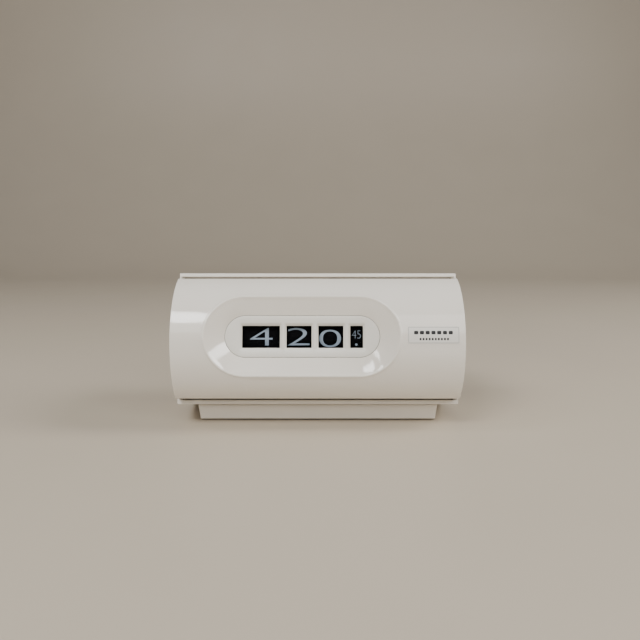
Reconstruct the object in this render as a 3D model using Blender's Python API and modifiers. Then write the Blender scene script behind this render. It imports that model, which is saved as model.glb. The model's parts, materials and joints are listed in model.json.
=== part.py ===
"""Desk number clock with four rolling numeral drums behind a barrel-shaped front.

Lengths in this script are millimetres unless a name says otherwise; MM turns them into metres.
The clock body has its own frame: origin on the axis of the barrel curve, X to the right,
Y towards the back and Z up. An empty holds that frame, tilted back on its wedge pedestal.
"""
import math

import bmesh
import bpy
from mathutils import Matrix, Vector

MM = 0.001
GAP = 0.3                       # clearance between touching pieces

# Body
TILT = math.radians(13.7)       # how far the body leans back
AXIS_HEIGHT = 49.5              # barrel axis above the table
AXIS_FORWARD = -0.82            # puts the middle of the whole clock at Y = 0
BARREL_R = 44.35
BARREL_TOP_Z = 37.75
BARREL_LOW_Z = -36.9
BARREL_HALF_W = 87.5
SHELL_WALL = 2.4
SHELL_BACK = -15.1
SPIGOT_BACK = -8.0
SPIGOT_HALF_W = 85.2
CAVITY_HALF_W = 82.8

# Rear case and back cover
CASE_HALF_W = 88.3
CASE_WALL = 2.7
CASE_FRONT = -14.8
CASE_BACK = 34.5
CASE_TOP = 42.4
CASE_BOTTOM = -40.7
CASE_TOP_IN = 40.2
CASE_BOTTOM_IN = -38.1
COVER_FRONT = 34.8
COVER_BACK = 37.0

# Funnel recess, panel and windows
RECESS_X = -9.3
RECESS_Z = 0.8
PILL_HALF = 34.4                # straight half length shared by every pill outline
FUNNEL_MOUTH_R = 23.9
FUNNEL_FLOOR_R = 12.8
FUNNEL_WALL = 2.2
PANEL_Y = -33.1
PANEL_THICK = 2.1
LENS_FRONT = -30.7
LENS_THICK = 1.2
WINDOW_LOW_Z = -6.1
WINDOW_HIGH_Z = 7.4
WINDOW_BEVEL = 1.4
WINDOWS_X = ((-46.0, -23.0), (-19.0, -3.7), (0.4, 15.6), (19.8, 27.6))

# Drums and their train
DRUM_R = 24.0
DRUM_Y = -4.5
DRUM_Z = 1.0
DRUM_RIM = 1.3
DRUM_SIDES = 48
SHAFT_R = 2.0
RUN = 0.2                       # radial running clearance
DRUMS = {"hours": (-47.0, -22.5), "tens": (-19.5, -3.3), "minutes": (0.1, 16.0), "seconds": (19.6, 28.0)}
RING_TEETH = 40
PINION_TEETH = 8
COUNTER_DISTANCE = 26.0
COUNTER_MODULE = 2 * COUNTER_DISTANCE / (RING_TEETH + PINION_TEETH)
RING_WIDTH = 1.6
TRANSFER_ANGLE = -72.0          # carry pinions sit below the drums, degrees above the rearward direction
SETTING_ANGLE = 0.0             # setting pinion sits straight behind the drums
DRIVE_MODULE = 0.8
SECONDS_TEETH = 50
IDLER_TEETH = 30
DRIVE_TEETH = 10
IDLER_ANGLE = 36.0
DRIVE_ANGLE = 150.0
DRIVE_X = (28.6, 30.4)
ARBOR_R = 1.2

# Frame plates
PLATE_LEFT_X = (-52.4, -50.4)
PLATE_RIGHT_X = (31.6, 33.6)
GEAR_PLATE_X = (52.0, 53.8)
PILLARS_YZ = ((-4.0, 31.0), (20.0, -30.0), (-14.0, -30.0))
GEAR_PILLARS_YZ = ((-12.0, 20.0), (-12.0, -26.0))
PILLAR_R = 2.0

# Setting wheel, motor, battery and electronics
WHEEL_R = 17.5
WHEEL_X = (36.0, 40.0)
MOTOR_R = 10.0
MOTOR_HOLE_R = 1.6
MOTOR_SHAFT_R = 0.9
MOTOR_X = (54.1, 72.0)
CELL_R = 13.1
CELL_HALF_L = 25.0
CELL_X = -68.5
CELL_Y = 18.0
CELL_Z = 1.0
DOOR_HALF_W = 17.0
DOOR_HALF_H = 27.0
BOARD_X = (57.0, 58.4)

# Pedestal and feet, in distances from the barrel axis along the table
PEDESTAL_FRONT_LOW = -15.2
PEDESTAL_FRONT_HIGH = -17.4
PEDESTAL_REAR = 12.5
PEDESTAL_HALF_W = 75.7
PEDESTAL_FLARE = 1.0
PEDESTAL_BASE = 0.9
FRONT_FOOT_Y = -4.0
FRONT_FOOT_R = 4.5
REAR_FOOT_Y = (13.4, 22.4)
FOOT_X = 66.0

FINISHES = {
    "shell": ((0.80, 0.775, 0.73), 0.22, 0.0),
    "panel": ((0.80, 0.78, 0.74), 0.25, 0.0),
    "plate": ((0.45, 0.45, 0.45), 0.3, 0.9),
    "clear": ((0.85, 0.88, 0.9), 0.05, 0.0),
    "rubber": ((0.03, 0.03, 0.03), 0.8, 0.0),
    "drum": ((0.012, 0.013, 0.015), 0.45, 0.0),
    "gear": ((0.75, 0.74, 0.70), 0.4, 0.0),
    "steel": ((0.60, 0.60, 0.62), 0.3, 1.0),
    "brass": ((0.75, 0.58, 0.28), 0.3, 1.0),
    "board": ((0.12, 0.28, 0.16), 0.5, 0.0),
    "black": ((0.03, 0.03, 0.035), 0.5, 0.0),
    "wire_red": ((0.50, 0.04, 0.03), 0.5, 0.0),
}

for old in list(bpy.data.objects):
    bpy.data.objects.remove(old, do_unlink=True)

parts = bpy.data.collections.new("number_clock")
cutters = bpy.data.collections.new("cutters")
bpy.context.scene.collection.children.link(parts)
bpy.context.scene.collection.children.link(cutters)


# ---------------------------------------------------------------- materials, placing and basic shapes

def finish(name):
    """The material called name, made once from FINISHES."""
    material = bpy.data.materials.get(name)
    if material is None:
        color, roughness, metallic = FINISHES[name]
        material = bpy.data.materials.new(name)
        material.use_nodes = True
        shader = material.node_tree.nodes["Principled BSDF"]
        shader.inputs["Base Color"].default_value = (*color, 1.0)
        shader.inputs["Roughness"].default_value = roughness
        shader.inputs["Metallic"].default_value = metallic
    return material


def make_empty(name, location, tilt=0.0, parent=None):
    """An empty at location (mm), used as a frame or as a joint axis."""
    empty = bpy.data.objects.new(name, None)
    parts.objects.link(empty)
    empty.location = Vector(location) * MM
    empty.rotation_euler = (tilt, 0, 0)
    empty.parent = parent
    return empty


world = make_empty("table_frame", (0, AXIS_FORWARD, 0))
body = make_empty("body_frame", (0, AXIS_FORWARD, AXIS_HEIGHT), -TILT)


def put(name, mesh_object, slot, parent=body, location=(0, 0, 0)):
    """Name a finished object, give it a material and place it (mm) under its parent."""
    mesh_object.name = name
    mesh_object.data.name = name
    for collection in list(mesh_object.users_collection):
        collection.objects.unlink(mesh_object)
    parts.objects.link(mesh_object)
    mesh_object.data.materials.clear()
    mesh_object.data.materials.append(finish(slot))
    mesh_object.parent = parent
    mesh_object.location = Vector(location) * MM
    mesh_object.data.shade_smooth()
    mesh_object.data.set_sharp_from_angle(angle=math.radians(30))
    return mesh_object


def face_outwards(bm):
    """Make all faces of a closed mesh agree and point out of its volume."""
    bmesh.ops.recalc_face_normals(bm, faces=bm.faces)
    if bm.calc_volume(signed=True) < 0:
        bmesh.ops.reverse_faces(bm, faces=bm.faces)


def mesh_from(build_mesh):
    """A new object whose mesh build_mesh(bm) fills, in metres."""
    mesh = bpy.data.meshes.new("shape")
    bm = bmesh.new()
    build_mesh(bm)
    face_outwards(bm)
    bm.to_mesh(mesh)
    bm.free()
    shape = bpy.data.objects.new("shape", mesh)
    parts.objects.link(shape)
    return shape


def box(x_range, y_range, z_range):
    """A box between the given limits."""
    lows, highs = zip(x_range, y_range, z_range)
    centre = [(a + b) / 2 * MM for a, b in zip(lows, highs)]
    size = [(b - a) * MM for a, b in zip(lows, highs)]
    matrix = Matrix.Translation(centre) @ Matrix.Diagonal((*size, 1.0))
    return mesh_from(lambda bm: bmesh.ops.create_cube(bm, size=1.0, matrix=matrix))


def cylinder(axis, radius, start, end, centre, sides=24):
    """A cylinder along axis "X", "Y" or "Z" from start to end, centred on the two other coordinates."""
    middle = (start + end) / 2
    turn = {"X": Matrix.Rotation(math.pi / 2, 4, "Y"), "Y": Matrix.Rotation(-math.pi / 2, 4, "X"),
            "Z": Matrix.Identity(4)}[axis]
    place = {"X": (middle, *centre), "Y": (centre[0], middle, centre[1]), "Z": (*centre, middle)}[axis]
    matrix = Matrix.Translation(Vector(place) * MM) @ turn
    return mesh_from(lambda bm: bmesh.ops.create_cone(
        bm, cap_ends=True, segments=sides, radius1=radius * MM, radius2=radius * MM,
        depth=(end - start) * MM, matrix=matrix))


def extruded(outlines, span, axis="X"):
    """Closed outlines, filled and extruded over span; later outlines are holes.

    Points are (y, z) for an extrusion along X and (x, z) for one along Y.
    """
    curve = bpy.data.curves.new("outline", "CURVE")
    curve.dimensions = "2D"
    curve.fill_mode = "BOTH"
    curve.extrude = (span[1] - span[0]) / 2 * MM
    for points in outlines:
        spline = curve.splines.new("POLY")
        spline.points.add(len(points) - 1)
        for point, (across, up) in zip(spline.points, points):
            point.co = (across * MM, up * MM, 0, 1)
        spline.use_cyclic_u = True
    holder = bpy.data.objects.new("outline", curve)
    parts.objects.link(holder)
    middle = (span[0] + span[1]) / 2 * MM
    if axis == "X":
        stand_up = Matrix(((0, 0, 1, middle), (1, 0, 0, 0), (0, 1, 0, 0), (0, 0, 0, 1)))
    else:
        stand_up = Matrix(((1, 0, 0, 0), (0, 0, 1, middle), (0, 1, 0, 0), (0, 0, 0, 1)))
    return curve_to_mesh(holder, stand_up)


def curve_to_mesh(holder, matrix=None):
    """Turn a curve object into a welded mesh object and remove the curve."""
    bpy.context.view_layer.update()
    evaluated = holder.evaluated_get(bpy.context.evaluated_depsgraph_get())
    mesh = bpy.data.meshes.new_from_object(evaluated)
    bm = bmesh.new()
    bm.from_mesh(mesh)
    bmesh.ops.remove_doubles(bm, verts=bm.verts, dist=0.00001)
    if matrix is not None:
        bm.transform(matrix)
    face_outwards(bm)
    bm.to_mesh(mesh)
    bm.free()
    shape = bpy.data.objects.new("shape", mesh)
    parts.objects.link(shape)
    curve = holder.data
    bpy.data.objects.remove(holder, do_unlink=True)
    bpy.data.curves.remove(curve)
    return shape


def turned(profile, sides):
    """A closed (x, radius) profile turned about the X axis."""
    mesh = bpy.data.meshes.new("profile")
    count = len(profile)
    mesh.from_pydata([(x * MM, 0, radius * MM) for x, radius in profile],
                     [(i, (i + 1) % count) for i in range(count)], [])
    outline = bpy.data.objects.new("profile", mesh)
    parts.objects.link(outline)
    screw = outline.modifiers.new("turned", "SCREW")
    screw.axis = "X"
    screw.steps = sides
    screw.render_steps = sides
    screw.use_merge_vertices = True
    screw.merge_threshold = 0.00001
    return apply_shape(outline)


def apply_shape(shape):
    """Replace an object's mesh by its evaluated one, with its faces pointing out."""
    bpy.context.view_layer.update()
    evaluated = shape.evaluated_get(bpy.context.evaluated_depsgraph_get())
    mesh = bpy.data.meshes.new_from_object(evaluated)
    bm = bmesh.new()
    bm.from_mesh(mesh)
    face_outwards(bm)
    bm.to_mesh(mesh)
    bm.free()
    shape.modifiers.clear()
    shape.data = mesh
    return shape


def boolean(target, tools, operation="DIFFERENCE"):
    """Cut, join or intersect target with each tool and apply the result."""
    for tool in tools:
        for collection in list(tool.users_collection):
            collection.objects.unlink(tool)
        cutters.objects.link(tool)
        tool.hide_render = True
        tool.display_type = "WIRE"
        modifier = target.modifiers.new("shape", "BOOLEAN")
        modifier.operation = operation
        modifier.solver = "EXACT"
        modifier.object = tool
    apply_shape(target)
    for tool in tools:
        bpy.data.objects.remove(tool, do_unlink=True)
    return target


def bevel(target, width, segments=2):
    """Round the sharp edges of target."""
    modifier = target.modifiers.new("rounded_edges", "BEVEL")
    modifier.width = width * MM
    modifier.segments = segments
    modifier.limit_method = "ANGLE"
    modifier.angle_limit = math.radians(50)
    return target


# ---------------------------------------------------------------- outlines

def arc(centre, radius, start, end, steps):
    """Points of an arc in degrees, measured from the first coordinate towards the second."""
    points = []
    for i in range(steps + 1):
        angle = math.radians(start + (end - start) * i / steps)
        points.append((centre[0] + radius * math.cos(angle), centre[1] + radius * math.sin(angle)))
    return points


def barrel_outline(inset, back, steps=28):
    """Side outline of the barrel, pulled in by inset: the curved front and two flat returns that run back."""
    radius, top, low = BARREL_R - inset, BARREL_TOP_Z - inset, BARREL_LOW_Z + inset
    top_angle = math.degrees(math.asin(top / radius))
    low_angle = math.degrees(math.asin(low / radius))
    front = arc((0, 0), radius, 180 - top_angle, 180 - low_angle, steps)
    return front + [(back, low), (back, top)]


def pill_points(radius, steps=10):
    """(x, z) points round a pill outline about the recess centre."""
    right = arc((PILL_HALF, 0), radius, -90, 90, steps)
    left = arc((-PILL_HALF, 0), radius, 90, 270, steps)
    return [(RECESS_X + x, RECESS_Z + z) for x, z in right + left]


def pill_plate(radius, front, back):
    """A flat pill-shaped plate."""
    return extruded([pill_points(radius)], (front, back), "Y")


def loft(rings):
    """A closed solid through rings of points, each end closed by a fan."""
    def build_mesh(bm):
        rows = [[bm.verts.new(Vector(p) * MM) for p in ring] for ring in rings]
        for row, following in zip(rows, rows[1:]):
            for i in range(len(row)):
                j = (i + 1) % len(row)
                bm.faces.new((row[i], row[j], following[j], following[i]))
        for ring, row in ((rings[0], rows[0]), (rings[-1], rows[-1])):
            middle = bm.verts.new(sum((Vector(p) for p in ring), Vector()) / len(ring) * MM)
            for i in range(len(row)):
                bm.faces.new((row[i], row[(i + 1) % len(row)], middle))
    return mesh_from(build_mesh)


def funnel(offset):
    """The funnel between the pill floor and the pill mouth on the barrel, carried on past both ends."""
    floor_ring = pill_points(FUNNEL_FLOOR_R + offset)
    mouth_ring = pill_points(FUNNEL_MOUTH_R + offset)
    rings = []
    for share in (0.0, 1.0, 1.25):
        ring = []
        for (xf, zf), (xm, zm) in zip(floor_ring, mouth_ring):
            mouth_z = min(abs(zm), BARREL_R - 1)
            mouth_y = -math.sqrt(BARREL_R ** 2 - mouth_z ** 2)
            y = PANEL_Y + (mouth_y - PANEL_Y) * share
            ring.append((xf + (xm - xf) * share, y, zf + (zm - zf) * share))
        rings.append(ring)
    throat = [(x, PANEL_Y + PANEL_THICK, z) for x, z in floor_ring]
    clear_of_barrel = [(x, -BARREL_R - 10, z) for x, _, z in rings[-1]]
    return loft([throat] + rings + [clear_of_barrel])


# ---------------------------------------------------------------- casing

def make_front_shell():
    """Barrel front with its flat ends, a spigot for the rear case and the funnel recess."""
    shell = extruded([barrel_outline(0.0, SHELL_BACK)], (-BARREL_HALF_W, BARREL_HALF_W))
    spigot = box((-SPIGOT_HALF_W, SPIGOT_HALF_W), (SHELL_BACK - 2, SPIGOT_BACK),
                 (BARREL_LOW_Z + 0.05, BARREL_TOP_Z - 0.05))
    boolean(shell, [spigot], "UNION")
    hollow = extruded([barrel_outline(SHELL_WALL, SPIGOT_BACK + 2)], (-CAVITY_HALF_W, CAVITY_HALF_W))
    boolean(shell, [hollow])
    outer = extruded([barrel_outline(0.4, SHELL_BACK - 1)], (-BARREL_HALF_W + 1, BARREL_HALF_W - 1))
    funnel_wall = boolean(funnel(FUNNEL_WALL), [outer], "INTERSECT")
    boolean(shell, [funnel_wall], "UNION")
    boolean(shell, [funnel(0.0)])
    throat = pill_plate(FUNNEL_FLOOR_R, PANEL_Y - 0.5, PANEL_Y + PANEL_THICK + 2)
    boolean(shell, [throat, nameplate_solid(BARREL_R - 0.9, BARREL_R + 3, GAP)])
    put("front_shell", shell, "shell")


def nameplate_solid(inner_r, outer_r, grow):
    """A curved rectangular plate right of the recess, following the barrel."""
    centre_x, centre_z, half_w, half_h = 68.5, 1.0, 15.3, 5.15
    low = math.degrees(math.asin((centre_z - half_h - grow) / BARREL_R))
    high = math.degrees(math.asin((centre_z + half_h + grow) / BARREL_R))
    front = arc((0, 0), outer_r, 180 - high, 180 - low, 4)
    behind = arc((0, 0), inner_r, 180 - low, 180 - high, 4)
    return extruded([front + behind], (centre_x - half_w - grow, centre_x + half_w + grow))


def make_face_panel():
    """Flat pill panel with four windows, each with a bevelled reveal."""
    back = PANEL_Y + PANEL_THICK
    panel = pill_plate(FUNNEL_FLOOR_R - GAP, PANEL_Y, back)
    tools = []
    for low_x, high_x in WINDOWS_X:
        tools.append(box((low_x, high_x), (PANEL_Y - 1, back + 1), (WINDOW_LOW_Z, WINDOW_HIGH_Z)))
        rings = []
        for grow, y in ((0.0, PANEL_Y + WINDOW_BEVEL), (WINDOW_BEVEL * 1.5, PANEL_Y - WINDOW_BEVEL / 2)):
            rings.append([(x, y, z) for x, z in (
                (low_x - grow, WINDOW_LOW_Z - grow), (high_x + grow, WINDOW_LOW_Z - grow),
                (high_x + grow, WINDOW_HIGH_Z + grow), (low_x - grow, WINDOW_HIGH_Z + grow))])
        tools.append(loft(rings))
    put("face_panel", boolean(panel, tools), "panel")


def case_box(shrink, y_range, top, bottom):
    """A box with the case's outline, pulled in by shrink on the two sides."""
    half_w = CASE_HALF_W - shrink
    return box((-half_w, half_w), y_range, (bottom, top))


COVER_SCREWS_XZ = [(x, z) for x in (-79.5, 79.5) for z in (-32.0, 33.3)]
SCREW_R = 1.3
SCREW_HEAD_R = 3.0
BOSS_R = 3.6


def make_rear_case():
    """Open sleeve round the mechanism, with four screw bosses in its corners."""
    case = case_box(0.0, (CASE_FRONT, CASE_BACK), CASE_TOP, CASE_BOTTOM)
    boolean(case, [case_box(CASE_WALL, (CASE_FRONT - 1, CASE_BACK + 1), CASE_TOP_IN, CASE_BOTTOM_IN)])
    joined = []
    drilled = []
    for x, z in COVER_SCREWS_XZ:
        side = math.copysign(1, x)
        inside, outside = x - side * BOSS_R * 0.2, side * (CASE_HALF_W - 0.5)
        joined.append(cylinder("Y", BOSS_R, 12.0, 31.0, (x, z), 16))
        joined.append(box(sorted((inside, outside)), (12.5, 30.5), (z - 1.2, z + 1.2)))
        drilled.append(cylinder("Y", SCREW_R + GAP, 11.0, 32.0, (x, z), 12))
    boolean(case, joined, "UNION")
    boolean(case, drilled)
    put("rear_case", case, "shell")


def make_back_cover():
    """Flat cover with a locating lip, a battery opening, a slot for the setting wheel and vents."""
    cover = case_box(0.0, (COVER_FRONT, COVER_BACK), CASE_TOP, CASE_BOTTOM)
    lip = case_box(CASE_WALL + GAP, (31.4, COVER_FRONT + 0.2), CASE_TOP_IN - GAP, CASE_BOTTOM_IN + GAP)
    lip_hollow = case_box(CASE_WALL + GAP + 1.5, (30.0, COVER_FRONT), CASE_TOP_IN - 1.8, CASE_BOTTOM_IN + 1.8)
    boolean(cover, [boolean(lip, [lip_hollow])], "UNION")
    opening = box((CELL_X - DOOR_HALF_W - GAP, CELL_X + DOOR_HALF_W + GAP), (30, 40),
                  (-DOOR_HALF_H - GAP, DOOR_HALF_H + GAP))
    slot = box((WHEEL_X[0] - 1, WHEEL_X[1] + 1), (30, 40), (DRUM_Z - 13.5, DRUM_Z + 13.5))
    vents = [box((66.0 - 11, 66.0 + 11), (30, 40), (z - 1.0, z + 1.0)) for z in (-12, -6, 0, 6, 12)]
    holes = []
    for x, z in COVER_SCREWS_XZ:
        holes.append(cylinder("Y", SCREW_R + GAP, 30.0, 40.0, (x, z), 12))
        holes.append(cylinder("Y", SCREW_HEAD_R + GAP, COVER_BACK - 1.3, 40.0, (x, z), 16))
    put("back_cover", boolean(cover, [opening, slot] + vents + holes), "shell")


def make_cover_screws():
    """Pan-head screws with a straight slot, one in each corner of the cover."""
    for number, (x, z) in enumerate(COVER_SCREWS_XZ, start=1):
        screw = cylinder("Y", SCREW_HEAD_R, COVER_BACK - 1.0, COVER_BACK, (0, 0), 16)
        shank = cylinder("Y", SCREW_R, 16.0, COVER_BACK - 0.8, (0, 0), 10)
        boolean(screw, [shank], "UNION")
        boolean(screw, [box((-4, 4), (COVER_BACK - 0.4, COVER_BACK + 1), (-0.4, 0.4))])
        put("cover_screw_%d" % number, screw, "steel", body, (x, 0, z))


def make_battery_door():
    """Door in the back cover, with a finger groove, that pulls straight off."""
    door = box((-DOOR_HALF_W, DOOR_HALF_W), (COVER_FRONT, COVER_BACK), (-DOOR_HALF_H, DOOR_HALF_H))
    grooves = [box((-7, 7), (COVER_BACK - 0.8, COVER_BACK + 1), (z, z + 1.4)) for z in (17.0, 19.6, 22.2)]
    put("battery_door", boolean(door, grooves), "shell", body, (CELL_X, 0, 0))


def underside_height(y):
    """Height of the case's underside above the table, y from the barrel axis."""
    return AXIS_HEIGHT + CASE_BOTTOM / math.cos(TILT) - y * math.tan(TILT)


def make_pedestal():
    """Wedge under the case, hollow from below between its ends, slightly wider at the top."""
    lift = GAP / math.cos(TILT)
    outline = [(PEDESTAL_FRONT_LOW, PEDESTAL_BASE), (PEDESTAL_REAR, PEDESTAL_BASE),
               (PEDESTAL_REAR, underside_height(PEDESTAL_REAR) - lift),
               (PEDESTAL_FRONT_HIGH, underside_height(PEDESTAL_FRONT_HIGH) - lift)]
    wedge = extruded([outline], (-PEDESTAL_HALF_W, PEDESTAL_HALF_W))
    for vertex in wedge.data.vertices:
        if vertex.co.z > (PEDESTAL_BASE + 0.5) * MM:
            vertex.co.x += math.copysign(PEDESTAL_FLARE * MM, vertex.co.x)
    wall = 2.4
    front, rear = PEDESTAL_FRONT_LOW + wall, PEDESTAL_REAR - wall
    hollow = extruded([[(front, PEDESTAL_BASE - 2), (rear, PEDESTAL_BASE - 2),
                        (rear, underside_height(rear) - lift - 1.6),
                        (front, underside_height(front) - lift - wall)]], (-58.0, 58.0))
    put("pedestal", boolean(wedge, [hollow]), "shell", world)


def make_feet():
    """Two round pads under the pedestal and two wedge pads under the back of the case."""
    for side, x in (("left", -FOOT_X), ("right", FOOT_X)):
        pad = cylinder("Z", FRONT_FOOT_R, 0.0, PEDESTAL_BASE - GAP, (0, 0), 20)
        put("front_foot_" + side, pad, "rubber", world, (x, FRONT_FOOT_Y, 0))
        front, rear = REAR_FOOT_Y
        lift = GAP / math.cos(TILT)
        wedge = extruded([[(front, 0), (rear, 0), (rear, underside_height(rear) - lift),
                           (front, underside_height(front) - lift)]], (-7.0, 7.0))
        put("rear_foot_" + side, wedge, "rubber", world, (x, 0, 0))


# ---------------------------------------------------------------- gears

def gear_outline(teeth, module, phase):
    """(y, z) points of a gear with straight-flanked teeth; a tooth points at phase degrees."""
    pitch_r = teeth * module / 2
    root_r = pitch_r - 1.05 * module
    tip_r = pitch_r + 0.75 * module
    half_pitch = math.pi / teeth
    points = []
    for tooth in range(teeth):
        middle = math.radians(phase) + 2 * math.pi * tooth / teeth
        for radius, share in ((root_r, -0.62), (tip_r, -0.26), (tip_r, 0.26), (root_r, 0.62)):
            angle = middle + share * half_pitch
            points.append((radius * math.cos(angle), radius * math.sin(angle)))
    return points


def mesh_phase(driver_phase, driver_teeth, follower_teeth, direction):
    """Phase that lets a follower mesh with a driver whose centre it sees at direction + 180 degrees."""
    past_tooth = (direction - driver_phase) % (360 / driver_teeth)
    return direction + 180 + 180 / follower_teeth + past_tooth * driver_teeth / follower_teeth


def gear(teeth, module, phase, x_range, bore, sides=16):
    """A flat gear with a round bore."""
    hole = arc((0, 0), bore, 0, 360 - 360 / sides, sides - 1)
    return extruded([gear_outline(teeth, module, phase), hole], x_range)


def around(centre, radius, angle):
    """The (y, z) point at radius and angle (degrees) from centre."""
    turn = math.radians(angle)
    return (centre[0] + radius * math.cos(turn), centre[1] + radius * math.sin(turn))


DRUM_AXIS = (DRUM_Y, DRUM_Z)
TRANSFER_AXIS = around(DRUM_AXIS, COUNTER_DISTANCE, TRANSFER_ANGLE)
SETTING_AXIS = around(DRUM_AXIS, COUNTER_DISTANCE, SETTING_ANGLE)
IDLER_AXIS = around(DRUM_AXIS, DRIVE_MODULE * (SECONDS_TEETH + IDLER_TEETH) / 2, IDLER_ANGLE)
DRIVE_AXIS = around(IDLER_AXIS, DRIVE_MODULE * (IDLER_TEETH + DRIVE_TEETH) / 2, DRIVE_ANGLE)


def joint_frame(name, axis_yz):
    """An empty on a turning axis, inside the body frame."""
    return make_empty(name, (0, *axis_yz), 0.0, body)


drum_frame = joint_frame("drum_axis", DRUM_AXIS)
transfer_frame = joint_frame("transfer_axis", TRANSFER_AXIS)
setting_frame = joint_frame("setting_axis", SETTING_AXIS)
idler_frame = joint_frame("idler_axis", IDLER_AXIS)
drive_frame = joint_frame("drive_axis", DRIVE_AXIS)


def make_drums():
    """Four numeral drums, each a rim, a thin web and a hub; three carry a ring gear on the right."""
    bore = SHAFT_R + RUN
    for name, (left, right) in DRUMS.items():
        web = left + 1.4
        profile = [(left, DRUM_R), (left, bore), (right, bore), (right, bore + 1.6), (web, bore + 1.6),
                   (web, DRUM_R - DRUM_RIM), (right, DRUM_R - DRUM_RIM), (right, DRUM_R)]
        put(name + "_drum", turned(profile, DRUM_SIDES), "drum", drum_frame)
        if name != "seconds":
            ring = (right + GAP, right + GAP + RING_WIDTH)
            ring_gear = gear(RING_TEETH, COUNTER_MODULE, 0.0, ring, bore, 16)
            put(name + "_ring_gear", ring_gear, "drum", drum_frame)
            phase = mesh_phase(0.0, RING_TEETH, PINION_TEETH, TRANSFER_ANGLE)
            span = (ring[0] - 0.1, ring[1] + 0.8)
            pinion = gear(PINION_TEETH, COUNTER_MODULE, phase, span, ARBOR_R + RUN, 12)
            put(name + "_pinion", pinion, "gear", transfer_frame)
    seconds = gear(SECONDS_TEETH, DRIVE_MODULE, 0.0, DRIVE_X, bore, 16)
    put("seconds_gear", seconds, "drum", drum_frame)


def make_shafts():
    """Drum shaft with its clips, and the transfer shaft; both stand still in the frame plates."""
    shaft = cylinder("X", SHAFT_R, PLATE_LEFT_X[0] - 2.6, PLATE_RIGHT_X[1] + 1.9, (0, 0), 16)
    put("drum_shaft", shaft, "steel", drum_frame)
    for side, start in (("left", PLATE_LEFT_X[0] - GAP - 1.0), ("right", PLATE_RIGHT_X[1] + GAP)):
        bore, end = SHAFT_R + GAP, start + 1.0
        clip = turned([(start, 4.0), (start, bore), (end, bore), (end, 4.0)], 16)
        put("shaft_clip_" + side, clip, "steel", drum_frame)
    shaft = cylinder("X", ARBOR_R, PLATE_LEFT_X[0] - 0.5, PLATE_RIGHT_X[1] + 1.0, (0, 0), 12)
    put("transfer_shaft", shaft, "steel", transfer_frame)


def make_setting_gear():
    """Setting shaft with the pinion that turns the minutes drum and the knurled wheel at the back."""
    gear_x = DRUMS["minutes"][1] + GAP
    phase = mesh_phase(0.0, RING_TEETH, PINION_TEETH, SETTING_ANGLE)
    span = (gear_x - 0.1, gear_x + RING_WIDTH + 0.8)
    pinion = gear(PINION_TEETH, COUNTER_MODULE, phase, span, ARBOR_R + GAP, 12)
    put("setting_pinion", pinion, "gear", setting_frame)
    put("setting_shaft", cylinder("X", ARBOR_R, gear_x - 1.0, GEAR_PLATE_X[1] + 1.5, (0, 0), 12), "steel",
        setting_frame)
    knurls = 48
    rim = []
    for i in range(knurls * 2):
        radius = WHEEL_R if i % 2 == 0 else WHEEL_R - 0.7
        rim.append(around((0, 0), radius, 180 * i / knurls))
    wheel = extruded([rim, arc((0, 0), ARBOR_R + GAP, 0, 330, 11)], WHEEL_X)
    put("setting_wheel", wheel, "black", setting_frame)


def make_drive():
    """Idler on its arbor and the motor pinion on the motor shaft."""
    idler_phase = mesh_phase(0.0, SECONDS_TEETH, IDLER_TEETH, IDLER_ANGLE)
    idler = gear(IDLER_TEETH, DRIVE_MODULE, idler_phase, DRIVE_X, ARBOR_R + RUN, 12)
    put("idler_gear", idler, "gear", idler_frame)
    put("idler_arbor", cylinder("X", ARBOR_R, DRIVE_X[0] - 1.0, PLATE_RIGHT_X[1] + 1.0, (0, 0), 12), "steel",
        idler_frame)
    phase = mesh_phase(idler_phase, IDLER_TEETH, DRIVE_TEETH, DRIVE_ANGLE)
    pinion = gear(DRIVE_TEETH, DRIVE_MODULE, phase, DRIVE_X, MOTOR_SHAFT_R + GAP, 12)
    put("drive_pinion", pinion, "brass", drive_frame)
    shaft = cylinder("X", MOTOR_SHAFT_R, DRIVE_X[0] - 1.0, MOTOR_X[0] + 8.0, (0, 0), 12)
    put("motor_shaft", shaft, "steel", drive_frame)
    motor = cylinder("X", MOTOR_R, *MOTOR_X, (0, 0), 32)
    boolean(motor, [cylinder("X", MOTOR_SHAFT_R + GAP, MOTOR_X[0] - 1, MOTOR_X[0] + 9, (0, 0), 12)])
    put("motor_case", motor, "steel", drive_frame)
    cap = cylinder("X", MOTOR_R - 1.0, MOTOR_X[1] + GAP, MOTOR_X[1] + 2.0, (0, 0), 32)
    put("motor_end_cap", cap, "black", drive_frame)


# ---------------------------------------------------------------- frame

def plate_outline():
    """Side outline of a frame plate; its foot stands on the floor of the case behind the spigot."""
    foot = CASE_BOTTOM_IN + GAP
    return [(-16.0, -34.0), (-7.0, -34.0), (-7.0, foot), (27.0, foot), (27.0, 34.5), (-16.0, 34.5)]


def bored_plate(x_range, bores):
    """A frame plate with round holes, each (centre, radius)."""
    plate = extruded([plate_outline()], x_range)
    drills = [cylinder("X", radius, x_range[0] - 1, x_range[1] + 1, centre, 16) for centre, radius in bores]
    return boolean(plate, drills)


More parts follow.
